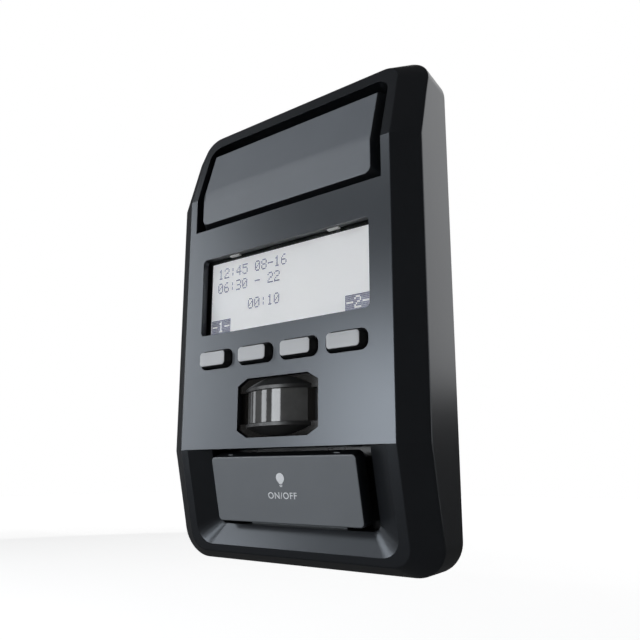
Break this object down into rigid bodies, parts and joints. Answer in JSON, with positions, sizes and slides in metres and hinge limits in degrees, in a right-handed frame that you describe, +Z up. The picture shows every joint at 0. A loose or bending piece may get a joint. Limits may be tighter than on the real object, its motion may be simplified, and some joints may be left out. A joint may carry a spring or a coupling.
{
  "type": "garage door control panel",
  "caption": "Wall-mounted garage door control panel with a sprung push bar, a dot matrix display, soft keys, a motion sensor lens and a wide light button.",
  "frame": {"origin": "on the wall plane, behind the middle of the housing", "axes": "+Y into the wall, +Z up, controls face -Y"},
  "size_m": [0.08, 0.0225, 0.1282],
  "materials": {
    "casing_plastic": "satin charcoal moulded plastic",
    "bar_plastic": "satin slate grey moulded plastic",
    "button_plastic": "satin slate grey moulded plastic",
    "key_plastic": "silver painted plastic",
    "dark_plastic": "black moulded plastic",
    "plate_plastic": "dark moulded plastic",
    "clear_window": "clear polished plastic",
    "cell_glass": "polished glass",
    "backlight_plastic": "milky light guide",
    "smoked_lens": "smoked polished plastic",
    "milky_lens": "milky moulded plastic",
    "sensor_can": "drawn metal can",
    "sensor_pane": "dark coated pane",
    "board_laminate": "black solder mask",
    "switch_plastic": "black moulded plastic",
    "plunger_plastic": "natural moulded plastic",
    "screw_steel": "zinc plated",
    "rod_steel": "ground steel rod",
    "pin_brass": "gold plated pins",
    "terminal_plastic": "green moulded plastic",
    "chip_plastic": "black moulding compound",
    "leg_metal": "tinned legs",
    "capacitor_metal": "sleeved can",
    "crystal_metal": "drawn metal can",
    "chip_part_ceramic": "ceramic bodies"
  },
  "bodies": {
    "housing": {"front_housing": "casing_plastic", "back_plate": "plate_plastic", "case_screws": "screw_steel", "main_board": "board_laminate", "board_screws": "screw_steel", "display_window": "clear_window", "display_clips": "dark_plastic", "display_frame": "dark_plastic", "lcd_glass": "cell_glass", "lcd_backlight": "backlight_plastic", "lcd_header_pins": "pin_brass", "pir_lens": "smoked_lens", "pir_inner_lens": "milky_lens", "pir_holder": "dark_plastic", "pir_sensor": "sensor_can", "pir_sensor_pane": "sensor_pane", "soft_key_switches": "switch_plastic", "bar_switch": "switch_plastic", "light_switch": "switch_plastic", "terminal_block": "terminal_plastic", "terminal_screws": "screw_steel", "microcontroller": "chip_plastic", "microcontroller_legs": "leg_metal", "board_capacitors": "capacitor_metal", "board_crystal": "crystal_metal", "board_chip_parts": "chip_part_ceramic"},
    "push_bar": {"push_bar": "bar_plastic"},
    "bar_hinge_rod": {"bar_hinge_rod": "rod_steel"},
    "bar_switch_plunger": {"bar_switch_plunger": "plunger_plastic"},
    "light_button": {"light_button": "button_plastic"},
    "light_switch_plunger": {"light_switch_plunger": "plunger_plastic"},
    "soft_key_1": {"soft_key_1": "key_plastic", "soft_key_plunger_1": "plunger_plastic"},
    "soft_key_2": {"soft_key_2": "key_plastic", "soft_key_plunger_2": "plunger_plastic"},
    "soft_key_3": {"soft_key_3": "key_plastic", "soft_key_plunger_3": "plunger_plastic"},
    "soft_key_4": {"soft_key_4": "key_plastic", "soft_key_plunger_4": "plunger_plastic"}
  },
  "joints": [
    {"name": "push_bar_press", "type": "hinge", "parent": "housing", "child": "bar_hinge_rod", "pos_m": [0, -0.01099, 0.0523], "axis": [1, 0, 0], "range_deg": [0, 1], "stiffness_Nm_per_rad": 1, "springref_deg": -1.15},
    {"name": "push_bar_lift", "type": "hinge", "parent": "bar_hinge_rod", "child": "push_bar", "pos_m": [0, -0.01099, 0.0523], "axis": [-1, 0, 0], "range_deg": [0, 75]},
    {"name": "bar_switch_press", "type": "slide", "parent": "housing", "child": "bar_switch_plunger", "axis": [0, 1, 0], "range_m": [0, 0.0004]},
    {"name": "light_button_press", "type": "hinge", "parent": "housing", "child": "light_button", "pos_m": [0, -0.01257, -0.0382], "axis": [1, 0, 0], "range_deg": [0, 2.2], "stiffness_Nm_per_rad": 0.3, "springref_deg": -2.29},
    {"name": "light_switch_press", "type": "slide", "parent": "housing", "child": "light_switch_plunger", "axis": [0, 1, 0], "range_m": [0, 0.0004]},
    {"name": "soft_key_1_press", "type": "slide", "parent": "housing", "child": "soft_key_1", "axis": [0, 1, 0], "range_m": [0, 0.0006], "stiffness_N_per_m": 600, "springref_m": -0.001},
    {"name": "soft_key_2_press", "type": "slide", "parent": "housing", "child": "soft_key_2", "axis": [0, 1, 0], "range_m": [0, 0.0006], "stiffness_N_per_m": 600, "springref_m": -0.001},
    {"name": "soft_key_3_press", "type": "slide", "parent": "housing", "child": "soft_key_3", "axis": [0, 1, 0], "range_m": [0, 0.0006], "stiffness_N_per_m": 600, "springref_m": -0.001},
    {"name": "soft_key_4_press", "type": "slide", "parent": "housing", "child": "soft_key_4", "axis": [0, 1, 0], "range_m": [0, 0.0006], "stiffness_N_per_m": 600, "springref_m": -0.001}
  ],
  "couplings": [
    {"joint": "bar_switch_press", "follows": "push_bar_press", "m_per_rad": 0.0201},
    {"joint": "light_switch_press", "follows": "light_button_press", "m_per_rad": 0.0098}
  ]
}
